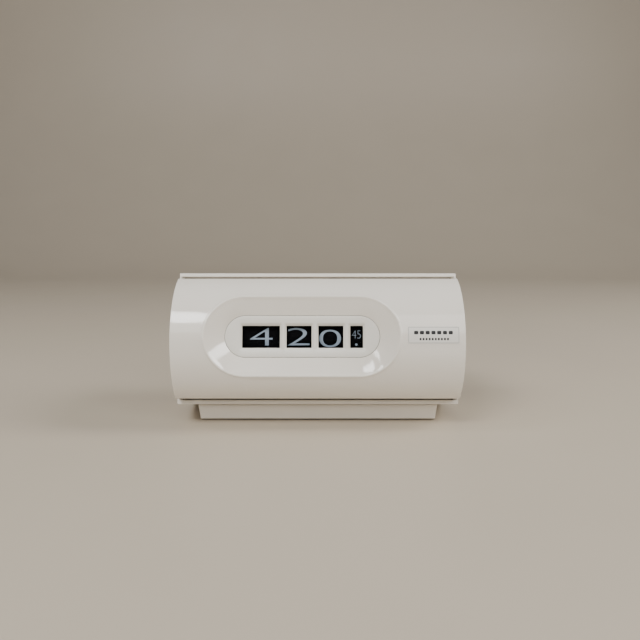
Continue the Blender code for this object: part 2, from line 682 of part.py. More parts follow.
def make_frame():
    """Two frame plates, a gear plate, and the pillars that tie them together."""
    shared = [(DRUM_AXIS, SHAFT_R + GAP), (TRANSFER_AXIS, ARBOR_R + GAP)]
    put("frame_plate_left", bored_plate(PLATE_LEFT_X, shared), "steel")
    right_bores = shared + [(SETTING_AXIS, ARBOR_R + GAP), (IDLER_AXIS, ARBOR_R + GAP),
                            (DRIVE_AXIS, MOTOR_HOLE_R)]
    put("frame_plate_right", bored_plate(PLATE_RIGHT_X, right_bores), "steel")
    gear_bores = [(SETTING_AXIS, ARBOR_R + GAP), (DRIVE_AXIS, MOTOR_HOLE_R)]
    put("gear_plate", bored_plate(GEAR_PLATE_X, gear_bores), "steel")
    for number, (y, z) in enumerate(PILLARS_YZ, start=1):
        pillar = cylinder("X", PILLAR_R, PLATE_LEFT_X[1] + GAP, PLATE_RIGHT_X[0] - GAP, (0, 0), 12)
        put("frame_pillar_%d" % number, pillar, "brass", body, (0, y, z))
    for number, (y, z) in enumerate(GEAR_PILLARS_YZ, start=1):
        pillar = cylinder("X", PILLAR_R, PLATE_RIGHT_X[1] + GAP, GEAR_PLATE_X[0] - GAP, (0, 0), 12)
        put("gear_pillar_%d" % number, pillar, "brass", body, (0, y, z))


# ---------------------------------------------------------------- battery, electronics and wires

def make_battery():
    """Open holder, cell, contact plate at the top and coil contact at the bottom."""
    wall = 1.6
    half_w, low, high = 15.2, -28.0, 29.2
    holder = box((-half_w, half_w), (3.0, 32.0), (low, high))
    boolean(holder, [box((-half_w + wall, half_w - wall), (3.0 + wall, 33.0), (low + wall, high - wall))])
    put("battery_holder", holder, "black", body, (CELL_X, 0, 0))
    cell = cylinder("Z", CELL_R, -CELL_HALF_L, CELL_HALF_L - 1.2, (0, 0), 32)
    boolean(cell, [cylinder("Z", 3.2, CELL_HALF_L - 2.0, CELL_HALF_L, (0, 0), 16)], "UNION")
    put("battery_cell", cell, "steel", body, (CELL_X, CELL_Y, CELL_Z))
    contact = box((-8, 8), (-8, 8), (CELL_HALF_L + GAP, CELL_HALF_L + GAP + 0.6))
    put("contact_plate", bevel(contact, 0.2, 1), "brass", body, (CELL_X, CELL_Y, CELL_Z))
    coil = bpy.data.curves.new("contact_spring", "CURVE")
    coil.dimensions = "3D"
    coil.bevel_depth = 0.35 * MM
    coil.bevel_resolution = 1
    coil.use_fill_caps = True
    turns, per_turn = 2.5, 10
    count = int(turns * per_turn) + 1
    spline = coil.splines.new("POLY")
    spline.points.add(count - 1)
    for i, point in enumerate(spline.points):
        share = i / (count - 1)
        angle = 2 * math.pi * turns * share
        radius = 7.0 - 3.5 * share
        height = low + wall + 0.7 + 1.0 * share
        point.co = (radius * math.cos(angle) * MM, radius * math.sin(angle) * MM, height * MM, 1)
    coil_object = bpy.data.objects.new("contact_spring", coil)
    parts.objects.link(coil_object)
    put("contact_spring", curve_to_mesh(coil_object), "steel", body, (CELL_X, CELL_Y, 0))


def make_electronics():
    """Driver board on two spacers beside the gear plate, with its chip and capacitor."""
    board = box(BOARD_X, (-6.0, 26.0), (-32.0, 8.0))
    put("circuit_board", board, "board")
    for number, (y, z) in enumerate(((-2.0, -28.0), (-2.0, 4.0)), start=1):
        spacer = cylinder("X", 2.0, GEAR_PLATE_X[1] + GAP, BOARD_X[0] - GAP, (0, 0), 12)
        put("board_spacer_%d" % number, spacer, "brass", body, (0, y, z))
    chip = box((BOARD_X[1] + GAP, BOARD_X[1] + 2.6), (4.0, 14.0), (-14.0, -7.0))
    put("circuit_chip", bevel(chip, 0.3, 1), "black")
    can = cylinder("X", 3.2, BOARD_X[1] + GAP, BOARD_X[1] + 10.0, (0, 0), 20)
    put("circuit_capacitor", bevel(can, 0.4, 1), "black", body, (0, 16.0, -22.0))


def make_wire(name, slot, height):
    """A wire from the battery holder along the bottom of the case to the board's edge."""
    curve = bpy.data.curves.new(name, "CURVE")
    curve.dimensions = "3D"
    curve.bevel_depth = 0.6 * MM
    curve.bevel_resolution = 1
    curve.use_fill_caps = True
    route = [(CELL_X + 15.6, 29.4, height), (-48.0, 29.4, height), (-20.0, 29.4, height - 1.0),
             (20.0, 29.4, height - 1.0), (50.0, 29.4, height), (56.0, 29.0, height + 1.0),
             (57.7, 27.2, height + 3.0)]
    spline = curve.splines.new("POLY")
    spline.points.add(len(route) - 1)
    for point, place in zip(spline.points, route):
        point.co = (*(Vector(place) * MM), 1)
    holder = bpy.data.objects.new(name, curve)
    parts.objects.link(holder)
    put(name, curve_to_mesh(holder), slot)


def make_nameplate():
    """Thin curved plate let into the barrel."""
    put("nameplate", nameplate_solid(BARREL_R - 0.6, BARREL_R + 0.05, 0.0), "plate")


def make_lens():
    """Clear lens behind the windows."""
    lens = pill_plate(FUNNEL_FLOOR_R + FUNNEL_WALL, LENS_FRONT, LENS_FRONT + LENS_THICK)
    put("window_lens", lens, "clear")


make_front_shell()
make_face_panel()
make_lens()
make_nameplate()
make_rear_case()
make_back_cover()
make_cover_screws()
make_battery_door()
make_pedestal()
make_feet()
make_frame()
make_shafts()
make_drums()
make_setting_gear()
make_drive()
make_battery()
make_electronics()
make_wire("wire_positive", "wire_red", -24.0)
make_wire("wire_negative", "black", -27.0)
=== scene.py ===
"""Finished look of a rolling-drum number clock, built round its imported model.

Sizes are millimetres in the clock body's own frame, unless a name says otherwise: origin on the
axis of the barrel front, X to the right, Y to the back, Z up. That frame leans back on the
pedestal.
"""
import json
import logging
import math
from collections.abc import Callable, Sequence
from dataclasses import dataclass, field
from enum import Enum

import bmesh
import bpy
from mathutils import Matrix, Vector


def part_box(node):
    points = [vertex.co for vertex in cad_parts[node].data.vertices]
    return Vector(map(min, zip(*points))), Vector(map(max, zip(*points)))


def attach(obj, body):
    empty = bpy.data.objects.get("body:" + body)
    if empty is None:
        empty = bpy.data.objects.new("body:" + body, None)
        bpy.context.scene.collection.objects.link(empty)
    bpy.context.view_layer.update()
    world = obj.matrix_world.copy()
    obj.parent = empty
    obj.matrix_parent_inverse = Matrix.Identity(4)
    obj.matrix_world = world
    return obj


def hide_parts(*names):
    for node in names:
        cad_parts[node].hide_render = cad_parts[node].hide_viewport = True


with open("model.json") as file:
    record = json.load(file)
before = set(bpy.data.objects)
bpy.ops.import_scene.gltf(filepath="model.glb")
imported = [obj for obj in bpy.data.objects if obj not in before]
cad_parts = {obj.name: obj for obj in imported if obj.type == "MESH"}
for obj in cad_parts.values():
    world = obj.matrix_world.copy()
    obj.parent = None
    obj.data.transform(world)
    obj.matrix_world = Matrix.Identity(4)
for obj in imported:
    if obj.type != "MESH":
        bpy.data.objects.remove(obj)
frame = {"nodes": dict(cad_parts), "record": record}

MM = 0.001
BMesh = bmesh.types.BMesh
BMVert = bmesh.types.BMVert
Object = bpy.types.Object
Flat = tuple[float, float]
Ring = list[Vector]
Loop = list[Flat]
Color = tuple[float, float, float]
LOG = logging.getLogger("number_clock")
COAT_ROUGHNESS = 0.06
CLEAR_ALPHA = 0.06
RELIEF_HEIGHT_M = 0.0002


# ---------------------------------------------------------------- finishes

class Pattern(Enum):
    """How a finish's small-scale texture runs."""

    GRAIN = "grain"
    BRUSHED = "brushed"
    SPECKLE = "speckle"
    CLEAR = "clear"


def linear(red: int, green: int, blue: int) -> Color:
    """Convert a display colour to the linear colour that a shader takes.

    Args:
        red: Red from 0 to 255.
        green: Green from 0 to 255.
        blue: Blue from 0 to 255.

    Returns:
        The linear colour.
    """
    def channel(value: int) -> float:
        """Linear value of one channel."""
        share = value / 255
        return share / 12.92 if share <= 0.04045 else ((share + 0.055) / 1.055) ** 2.4
    return channel(red), channel(green), channel(blue)


@dataclass(frozen=True)
class Finish:
    """A surface finish with its own colour drift, roughness and relief."""

    name: str
    color: Color
    roughness: float
    metallic: float = 0.0
    pattern: Pattern = Pattern.GRAIN
    drift: float = 0.04
    texture_mm: float = 12.0
    relief_mm: float = 1.2
    relief: float = 0.03
    coat: float = 0.0
    specular: float = 0.5

    def material(self) -> bpy.types.Material:
        """Make the finish's material, or find it if it was made before.

        Returns:
            The node material.
        """
        made = bpy.data.materials.get(self.name)
        if made is not None:
            return made
        made = bpy.data.materials.new(self.name)
        made.use_nodes = True
        nodes, links = made.node_tree.nodes, made.node_tree.links
        shader = nodes["Principled BSDF"]
        shader.inputs["Metallic"].default_value = self.metallic
        shader.inputs["Coat Weight"].default_value = self.coat
        shader.inputs["Coat Roughness"].default_value = COAT_ROUGHNESS
        shader.inputs["Specular IOR Level"].default_value = self.specular
        place = nodes.new("ShaderNodeTexCoord").outputs["Object"]
        if self.pattern is Pattern.BRUSHED:
            stretch = nodes.new("ShaderNodeMapping")
            stretch.inputs["Scale"].default_value = (1.0, 12.0, 12.0)
            links.new(place, stretch.inputs["Vector"])
            place = stretch.outputs["Vector"]
        coarse = self._noise(made, place, self.texture_mm, 3.0)
        fine = self._noise(made, place, self.relief_mm, 2.0)
        self._tint(made, coarse if self.pattern is not Pattern.SPECKLE else fine)
        spread = nodes.new("ShaderNodeMapRange")
        spread.inputs["To Min"].default_value = max(self.roughness * 0.85, 0.01)
        spread.inputs["To Max"].default_value = min(self.roughness * 1.2 + 0.01, 1.0)
        links.new(coarse, spread.inputs["Value"])
        links.new(spread.outputs["Result"], shader.inputs["Roughness"])
        bump = nodes.new("ShaderNodeBump")
        bump.inputs["Strength"].default_value = self.relief
        bump.inputs["Distance"].default_value = RELIEF_HEIGHT_M
        links.new(fine, bump.inputs["Height"])
        links.new(bump.outputs["Normal"], shader.inputs["Normal"])
        if self.pattern is Pattern.CLEAR:
            shader.inputs["Alpha"].default_value = CLEAR_ALPHA
        return made

    def _noise(self, made: bpy.types.Material, place: bpy.types.NodeSocket, size_mm: float,
               detail: float) -> bpy.types.NodeSocket:
        """Add a noise texture.

        Args:
            made: Material to add it to.
            place: Coordinates it reads.
            size_mm: Size of its blotches.
            detail: How many finer layers it has.

        Returns:
            The noise value's socket.
        """
        noise = made.node_tree.nodes.new("ShaderNodeTexNoise")
        noise.inputs["Scale"].default_value = 1 / (size_mm * MM)
        noise.inputs["Detail"].default_value = detail
        made.node_tree.links.new(place, noise.inputs["Vector"])
        return noise.outputs["Fac"]

    def _tint(self, made: bpy.types.Material, value: bpy.types.NodeSocket) -> None:
        """Let the colour drift a little lighter and darker.

        Args:
            made: Material whose colour is set.
            value: Socket that drives the drift.
        """
        ramp = made.node_tree.nodes.new("ShaderNodeValToRGB")
        low, high = ramp.color_ramp.elements
        low.position, high.position = 0.3, 0.7
        low.color = (*[c * (1 - self.drift) for c in self.color], 1.0)
        high.color = (*[min(c * (1 + self.drift), 1.0) for c in self.color], 1.0)
        made.node_tree.links.new(value, ramp.inputs["Fac"])
        shader = made.node_tree.nodes["Principled BSDF"]
        made.node_tree.links.new(ramp.outputs["Color"], shader.inputs["Base Color"])


IVORY_GLOSS = Finish("ivory_gloss", linear(233, 226, 214), 0.11, drift=0.012, texture_mm=40.0,
                     relief_mm=1.6, relief=0.015, coat=0.6)
IVORY_SATIN = Finish("ivory_satin", linear(229, 225, 215), 0.24, drift=0.012, texture_mm=25.0,
                     relief_mm=0.8, relief=0.03, coat=0.1)
IVORY_MATT = Finish("ivory_matt", linear(222, 216, 204), 0.42, drift=0.02, texture_mm=20.0,
                    relief_mm=0.35, relief=0.25)
DRUM_BLACK = Finish("drum_black", linear(5, 5, 7), 0.7, drift=0.3, texture_mm=6.0,
                    relief_mm=0.4, relief=0.1, specular=0.06)
NUMERAL_INK = Finish("numeral_ink", linear(160, 176, 194), 0.5, drift=0.05, texture_mm=3.0,
                     relief_mm=0.3, relief=0.08)
SMOKE_INK = Finish("smoke_ink", linear(28, 27, 28), 0.35, drift=0.2, texture_mm=2.0,
                   relief_mm=0.3, relief=0.08)
# Grey of the thin lines round the nameplate: painted shade standing for the dark gap round the
# plate.
GAP_SHADE_GREY = Finish("painted_gap_shade", linear(168, 163, 156), 0.4, drift=0.05, texture_mm=2.0,
                     relief_mm=0.3, relief=0.05)
PLATE_SATIN = Finish("plate_satin", linear(226, 222, 214), 0.2, drift=0.01, texture_mm=8.0,
                     relief_mm=0.5, relief=0.04, coat=0.2)
WINDOW_CLEAR = Finish("window_clear", linear(12, 13, 14), 0.03, pattern=Pattern.CLEAR,
                      drift=0.004, texture_mm=30.0, relief_mm=5.0, relief=0.003)
RUBBER_BLACK = Finish("rubber_black", linear(26, 26, 27), 0.82, drift=0.15, texture_mm=3.0,
                      relief_mm=0.25, relief=0.4, specular=0.3)
NYLON = Finish("nylon", linear(222, 217, 202), 0.38, drift=0.03, texture_mm=5.0,
               relief_mm=0.5, relief=0.12)
STEEL = Finish("plain_steel", linear(188, 189, 192), 0.28, metallic=1.0,
               pattern=Pattern.BRUSHED, drift=0.06, texture_mm=6.0, relief_mm=0.8, relief=0.08)
BRASS = Finish("plain_brass", linear(201, 168, 96), 0.24, metallic=1.0,
               pattern=Pattern.BRUSHED, drift=0.05, texture_mm=4.0, relief_mm=0.6, relief=0.06)
CELL_WRAP = Finish("cell_wrap", linear(44, 50, 62), 0.3, drift=0.08, texture_mm=8.0,
                   relief_mm=0.8, relief=0.04, coat=0.3)
BOARD_GREEN = Finish("board_green", linear(34, 82, 50), 0.42, pattern=Pattern.SPECKLE,
                     drift=0.12, texture_mm=6.0, relief_mm=0.5, relief=0.15)
BLACK_SATIN = Finish("black_satin", linear(24, 24, 26), 0.4, drift=0.12, texture_mm=4.0,
                     relief_mm=0.3, relief=0.2)
WIRE_RED = Finish("wire_red", linear(150, 30, 24), 0.4, drift=0.06, texture_mm=3.0,
                  relief_mm=0.4, relief=0.08)
FLOOR_PALE = Finish("floor_pale", linear(188, 176, 158), 0.45, drift=0.01, texture_mm=90.0,
                    relief_mm=3.0, relief=0.01)

SLOT_FINISHES = {
    "shell": IVORY_GLOSS, "panel": IVORY_SATIN, "plate": PLATE_SATIN, "lens": WINDOW_CLEAR,
    "rubber": RUBBER_BLACK, "drum": DRUM_BLACK, "gear": NYLON, "steel": STEEL,
    "cell": CELL_WRAP, "brass": BRASS, "board": BOARD_GREEN, "black": BLACK_SATIN,
    "wire_red": WIRE_RED,
}


# ---------------------------------------------------------------- the body's frame, from the model

def joint(name: str) -> dict:
    """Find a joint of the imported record.

    Args:
        name: The joint's name.

    Returns:
        The joint's entry.
    """
    return next(j for j in frame["record"]["behaviour"]["joints"] if j["name"] == name)


@dataclass(frozen=True)
class BodyFrame:
    """Where the leaning clock body stands, worked out from two of its joints."""

    drum_y: float = -4.5
    drum_z: float = 1.0

    def tilt(self) -> float:
        """How far the body leans back, in radians."""
        _, along, down = joint("battery_door_pull")["axis"]
        return math.atan2(-down, along)

    def matrix(self) -> Matrix:
        """Matrix from body millimetres to metres in the model's frame."""
        turn = Matrix.Rotation(-self.tilt(), 4, "X")
        drum = Vector(joint("minutes_turn")["pos_m"])
        origin = drum - turn @ (Vector((0, self.drum_y, self.drum_z)) * MM)
        return Matrix.Translation(origin) @ turn @ Matrix.Scale(MM, 4)


BODY = BodyFrame().matrix()


# ---------------------------------------------------------------- outlines and mesh tools

def arc(centre: Flat, radius: float, start: float, end: float, steps: int) -> Loop:
    """Points along an arc.

    Args:
        centre: Middle of the arc.
        radius: Its radius.
        start: First angle in degrees.
        end: Last angle in degrees.
        steps: Number of chords.

    Returns:
        The steps + 1 points.
    """
    angles = (math.radians(start + (end - start) * i / steps) for i in range(steps + 1))
    return [(centre[0] + radius * math.cos(a), centre[1] + radius * math.sin(a)) for a in angles]


def rounded_rect(low: Flat, high: Flat, radius: float, steps: int = 6) -> Loop:
    """A rectangle with rounded corners, anticlockwise from its lower right corner.

    Args:
        low: Lower left corner.
        high: Upper right corner.
        radius: Corner radius.
        steps: Chords in each corner.

    Returns:
        The outline.
    """
    corners = ((high[0] - radius, low[1] + radius, -90), (high[0] - radius, high[1] - radius, 0),
               (low[0] + radius, high[1] - radius, 90), (low[0] + radius, low[1] + radius, 180))
    outline: Loop = []
    for x, z, angle in corners:
        outline += arc((x, z), radius, angle, angle + 90, steps)
    return outline


def circle(centre: Flat, radius: float, sides: int = 48) -> Loop:
    """A round outline."""
    return arc(centre, radius, 0, 360 - 360 / sides, sides - 1)


def resample(outline: Sequence[Flat], count: int) -> Loop:
    """Points spread evenly along an open line.

    Args:
        outline: The line's points.
        count: How many points to return; the last one stops a step short of the line's end.

    Returns:
        The evenly spread points.
    """
    lengths = [math.dist(a, b) for a, b in zip(outline, outline[1:])]
    step = sum(lengths) / count
    points: Loop = []
    index, walked = 0, 0.0
    for i in range(count):
        while index < len(lengths) - 1 and walked + lengths[index] < i * step:
            walked += lengths[index]
            index += 1
        share = (i * step - walked) / lengths[index]
        a, b = outline[index], outline[index + 1]
        points.append((a[0] + (b[0] - a[0]) * share, a[1] + (b[1] - a[1]) * share))
    return points


def bridge(bm: BMesh, rows: Sequence[Sequence[BMVert]], around: bool = True) -> None:
    """Fill quads between rows of vertices.

    Args:
        bm: Mesh to add to.
        rows: Rows of equal length.
        around: Whether each row is a closed ring.
    """
    count = len(rows[0])
    for row, following in zip(rows, rows[1:]):
        for i in range(count if around else count - 1):
            j = (i + 1) % count
            bm.faces.new((row[i], row[j], following[j], following[i]))


def add_rows(bm: BMesh, rings: Sequence[Sequence[Sequence[float]]]) -> list[list[BMVert]]:
    """Add a vertex for each point of each ring and return them by ring."""
    return [[bm.verts.new(point) for point in ring] for ring in rings]


def fill_flat(bm: BMesh, rows: Sequence[Sequence[BMVert]]) -> None:
    """Fill the flat area between an outline and the holes in it.

    Args:
        bm: Mesh to add to.
        rows: The outline's vertices, then each hole's.
    """
    edges = []
    for row in rows:
        for a, b in zip(row, list(row[1:]) + [row[0]]):
            edges.append(bm.edges.get((a, b)) or bm.edges.new((a, b)))
    bmesh.ops.triangle_fill(bm, use_beauty=True, edges=edges)


@dataclass
class Piece:
    """One finished piece of the clock and what it rides on and stands for."""

    name: str
    body: str
    slot: str
    finish: Finish
    stands_for: tuple[str, ...] = ()
    place: Matrix = field(default_factory=lambda: BODY)
    smooth_angle: float = 32.0

    def build(self, fill: Callable[[BMesh], None]) -> Object:
        """Make the piece's mesh and put it on its body.

        Args:
            fill: Function that fills a mesh in the piece's own units.

        Returns:
            The finished object.
        """
        mesh = bpy.data.meshes.new(self.name)
        bm = bmesh.new()
        fill(bm)
        bm.transform(self.place)
        bmesh.ops.recalc_face_normals(bm, faces=bm.faces)
        if bm.calc_volume(signed=True) < 0:
            bmesh.ops.reverse_faces(bm, faces=bm.faces)
        bm.to_mesh(mesh)
        bm.free()
        shape = bpy.data.objects.new(self.name, mesh)
        bpy.context.scene.collection.objects.link(shape)
        return self.dress(shape)

    def dress(self, shape: Object) -> Object:
        """Give an object in its place the piece's finish and body, and hide the nodes it stands
        for.

        Args:
            shape: The object.

        Returns:
            The same object.
        """
        shape.data.materials.clear()
        shape.data.materials.append(self.finish.material())
        shape.data.shade_smooth()
        shape.data.set_sharp_from_angle(angle=math.radians(self.smooth_angle))
        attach(shape, self.body)
        if self.stands_for:
            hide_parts(*self.stands_for)
        return shape


def soften(shape: Object, width_mm: float, segments: int = 3, angle: float = 28.0) -> Object:
    """Round a piece's edges.

    Args:
        shape: The piece.
        width_mm: Width of the rounding.
        segments: Faces across it.
        angle: Edges sharper than this many degrees are rounded.

    Returns:
        The same object.
    """
    rounding = shape.modifiers.new("rounded_edges", "BEVEL")
    rounding.width = width_mm * MM
    rounding.segments = segments
    rounding.limit_method = "ANGLE"
    rounding.angle_limit = math.radians(angle)
    rounding.harden_normals = True
    return shape


def plate(bm: BMesh, outline: Loop, holes: Sequence[Loop], front: float, back: float) -> None:
    """A flat plate facing the front, with holes through it.

    Args:
        bm: Mesh to add to.
        outline: Its (x, z) outline.
        holes: Outlines of its holes.
        front: Y of its front face.
        back: Y of its back face.
    """
    near, far = [], []
    for loop in [outline, *holes]:
        rows = add_rows(bm, [[(x, y, z) for x, z in loop] for y in (front, back)])
        bridge(bm, rows)
        near.append(rows[0])
        far.append(rows[1])
    fill_flat(bm, near)
    fill_flat(bm, far)


def turned(bm: BMesh, profile: Sequence[Flat], centre: Flat, sides: int) -> None:
    """A closed profile of (along, radius) points turned about an axis along X.

    Args:
        bm: Mesh to add to.
        profile: The profile.
        centre: (y, z) of the axis.
        sides: Number of faces round it.
    """
    rows = []
    for step in range(sides):
        angle = 2 * math.pi * step / sides
        c, s = math.cos(angle), math.sin(angle)
        rows.append([bm.verts.new((a, centre[0] + r * c, centre[1] + r * s)) for a, r in profile])
    bridge(bm, rows + [rows[0]])


# ---------------------------------------------------------------- front of the clock

@dataclass(frozen=True)
class Pill:
    """The pill outline that the recess and the panel share."""

    x: float = -9.3
    z: float = 0.8
    half: float = 34.4
    end_steps: int = 24

    def quarter_lines(self, radius: float, turn: float = 50.0) -> list[Loop]:
        """The pill outline cut into right, top, left and bottom lines.

        Args:
            radius: Radius of its round ends.
            turn: Angle on the round ends where the lines meet.

        Returns:
            The four lines, anticlockwise.
        """
        right, left = (self.x + self.half, self.z), (self.x - self.half, self.z)

        def end(centre: Flat, start: float, stop: float) -> Loop:
            """Part of a round end."""
            return arc(centre, radius, start, stop, self.end_steps)
        return [
            end(right, -turn, turn),
            end(right, turn, 90) + end(left, 90, 180 - turn),
            end(left, 180 - turn, 180 + turn),
            end(left, 180 + turn, 270) + end(right, 270, 360 - turn),
        ]

    def ring(self, radius: float, counts: Sequence[int]) -> Loop:
        """The whole outline with a given number of points on each of its four lines."""
        points: Loop = []
        for line, count in zip(self.quarter_lines(radius), counts):
            points += resample(line, count)
        return points


@dataclass
class FrontShell:
    """Barrel-curved front with its funnel recess, ends and the spigot that enters the case."""

    radius: float = 44.04
    top_z: float = 37.75
    low_z: float = -36.9
    half_w: float = 87.5
    back: float = -15.1
    spigot_back: float = -8.0
    spigot_inset: float = 2.3
    spigot_step: float = 1.8
    flange_top: float = 40.25
    flange_low: float = -38.15
    flange_x: float = 1.003
    mouth_r: float = 23.9
    floor_r: float = 12.8
    floor_y: float = -33.1
    throat: float = 2.1
    rim_in: float = 1.0
    rim_out: float = 1.3
    rim_lift: float = 0.8
    wall: float = 1.7
    edge_round: float = 0.6
    edge_angle: float = 20.0
    pill: Pill = Pill()
    counts: tuple[int, int, int, int] = (60, 160, 60, 160)
    funnel_steps: int = 6
    rim_steps: int = 6
    barrel_steps: int = 9

    def on_barrel(self, x: float, angle: float) -> Vector:
        """Point of the barrel at x and at an angle in radians above straight ahead."""
        return Vector((x, -self.radius * math.cos(angle), self.radius * math.sin(angle)))

    def on_rim(self, inner: Vector, mouth: Flat, brow: Flat, share: float) -> Vector:
        """Point of the softly raised rim round the recess.

        Args:
            inner: Where the rim leaves the recess wall.
            mouth: (x, angle) of the mouth's sharp edge.
            brow: (x, angle) where the rim meets the barrel.
            share: How far across the rim, from 0 at the recess wall to 1 at the barrel.

        Returns:
            The point.
        """
        x, angle = mouth
        reach = self.radius + self.rim_lift
        peak = Vector((x, -reach * math.cos(angle), reach * math.sin(angle)))
        outer = self.on_barrel(*brow)
        return inner * (1 - share) ** 2 + peak * (2 * share * (1 - share)) + outer * share ** 2

    def edge_ring(self) -> Loop:
        """(x, angle) points round the barrel's edges, anticlockwise from its lower right corner."""
        top, low = math.asin(self.top_z / self.radius), math.asin(self.low_z / self.radius)
        w = self.half_w
        corners = [(w, low), (w, top), (-w, top), (-w, low), (w, low)]
        points: Loop = []
        for start, end, count in zip(corners, corners[1:], self.counts):
            points += resample((start, end), count)
        return points

    def pill_on_barrel(self, radius: float) -> Loop:
        """(x, angle) points where a pill outline of a radius meets the barrel."""
        return [(x, math.asin(z / self.radius)) for x, z in self.pill.ring(radius, self.counts)]

    def spigot_share(self) -> float:
        """How much of the barrel's height the spigot keeps."""
        return 1 - self.spigot_step / self.top_z

    def rings(self) -> list[Ring]:
        """All rings of the shell, from the throat round the panel to the flange in the case."""
        floor = self.pill.ring(self.floor_r, self.counts)
        mouth = self.pill_on_barrel(self.mouth_r)
        brow = self.pill_on_barrel(self.mouth_r + self.rim_out)
        low = [Vector((x, self.floor_y, z)) for x, z in floor]
        inner = []
        for start, rim in zip(low, mouth):
            end = self.on_barrel(*rim)
            inner.append(end.lerp(start, self.rim_in / (end - start).length))
        rings = [[Vector((x, self.floor_y + self.throat, z)) for x, z in floor]]
        for step in range(self.funnel_steps):
            share = step / self.funnel_steps
            rings.append([start.lerp(end, share) for start, end in zip(low, inner)])
        for step in range(self.rim_steps):
            share = step / self.rim_steps
            rings.append([self.on_rim(*places, share) for places in zip(inner, mouth, brow)])
        for step in range(self.barrel_steps + 1):
            share = step / self.barrel_steps
            rings.append([self.on_barrel(bx + (ex - bx) * share, ba + (ea - ba) * share)
                          for (bx, ba), (ex, ea) in zip(brow, self.edge_ring())])
        rings.append([Vector((p.x, self.back, p.z)) for p in rings[-1]])
        inset_x = 1 - self.spigot_inset / self.half_w
        spigot = [(p.x * inset_x, p.z * self.spigot_share()) for p in rings[-1]]
        rings += [[Vector((x, y, z)) for x, z in spigot] for y in (self.back, self.spigot_back)]
        rings.append([self.on_flange(x, z) for x, z in spigot])
        return rings

    def on_flange(self, x: float, z: float) -> Vector:
        """Point of the flange that closes the gap inside the case, outside a spigot point."""
        reach = self.flange_top / self.top_z if z > 0 else self.flange_low / self.low_z
        return Vector((x * self.flange_x, self.spigot_back, z * (reach / self.spigot_share())))

    def build(self) -> Object:
        """Build the shell as one skin, round its edges and give it its wall."""
        piece = Piece("moulded_front", "case", "shell", IVORY_GLOSS, ("front_shell",))
        shape = piece.build(lambda bm: bridge(bm, add_rows(bm, self.rings())))
        soften(shape, self.edge_round, angle=self.edge_angle)
        wall = shape.modifiers.new("wall", "SOLIDIFY")
        wall.thickness = self.wall * MM
        wall.offset = -1.0
        return shape


@dataclass
class FacePanel:
    """Flat pill panel with a bevelled reveal round each window."""

    front: float = -33.1
    back: float = -31.0
    radius: float = 12.65
    low_z: float = -6.1
    high_z: float = 7.4
    reveal: float = 1.4
    reveal_depth: float = 1.3
    corner: float = 0.35
    rim: float = 0.3
    soft: float = 0.18
    windows: tuple[Flat, ...] = ((-46.0, -23.0), (-19.0, -3.7), (0.4, 15.6), (19.8, 27.6))
    pill: Pill = Pill()
    counts: tuple[int, int, int, int] = (40, 120, 40, 120)

    def outline(self, shrink: float) -> Loop:
        """The panel's outline, pulled in by shrink."""
        return self.pill.ring(self.radius - shrink, self.counts)

    def window(self, span: Flat, grow: float) -> Loop:
        """A window's outline, grown by grow."""
        low, high = (span[0] - grow, self.low_z - grow), (span[1] + grow, self.high_z + grow)
        return rounded_rect(low, high, self.corner + grow * 0.6)

    def fill(self, bm: BMesh) -> None:
        """Fill the panel's mesh."""
        rim, soft = self.rim, self.soft
        outer = [(self.front, rim)]
        outer += [(self.front + rim * (1 - math.cos(a)), rim * (1 - math.sin(a)))
                  for a in (math.pi / 8, math.pi / 4, 3 * math.pi / 8, math.pi / 2)]
        outer.append((self.back, 0.0))
        rows = add_rows(bm, [[(x, y, z) for x, z in self.outline(shrink)] for y, shrink in outer])
        bridge(bm, rows)
        near, far = [rows[0]], [rows[-1]]
        sill = self.front + self.reveal_depth
        steps = [(self.front, self.reveal + soft),
                 (self.front + soft * 0.3, self.reveal + soft * 0.3),
                 (self.front + soft, self.reveal - soft), (sill - soft, soft), (sill, 0.0),
                 (self.back, 0.0)]
        for span in self.windows:
            rows = add_rows(bm, [[(x, y, z) for x, z in self.window(span, grow)]
                                 for y, grow in steps])
            bridge(bm, rows)
            near.append(rows[0])
            far.append(rows[-1])
        fill_flat(bm, near)
        fill_flat(bm, far)

    def build(self) -> Object:
        """Build the panel."""
        piece = Piece("window_panel", "case", "panel", IVORY_SATIN, ("face_panel",),
                      smooth_angle=24.0)
        return piece.build(self.fill)


@dataclass(frozen=True)
class BarRow:
    """A row of equal bars, placed from the middle of the plate."""

    count: int
    left: float
    pitch: float
    width: float
    low: float
    high: float
    corner: float


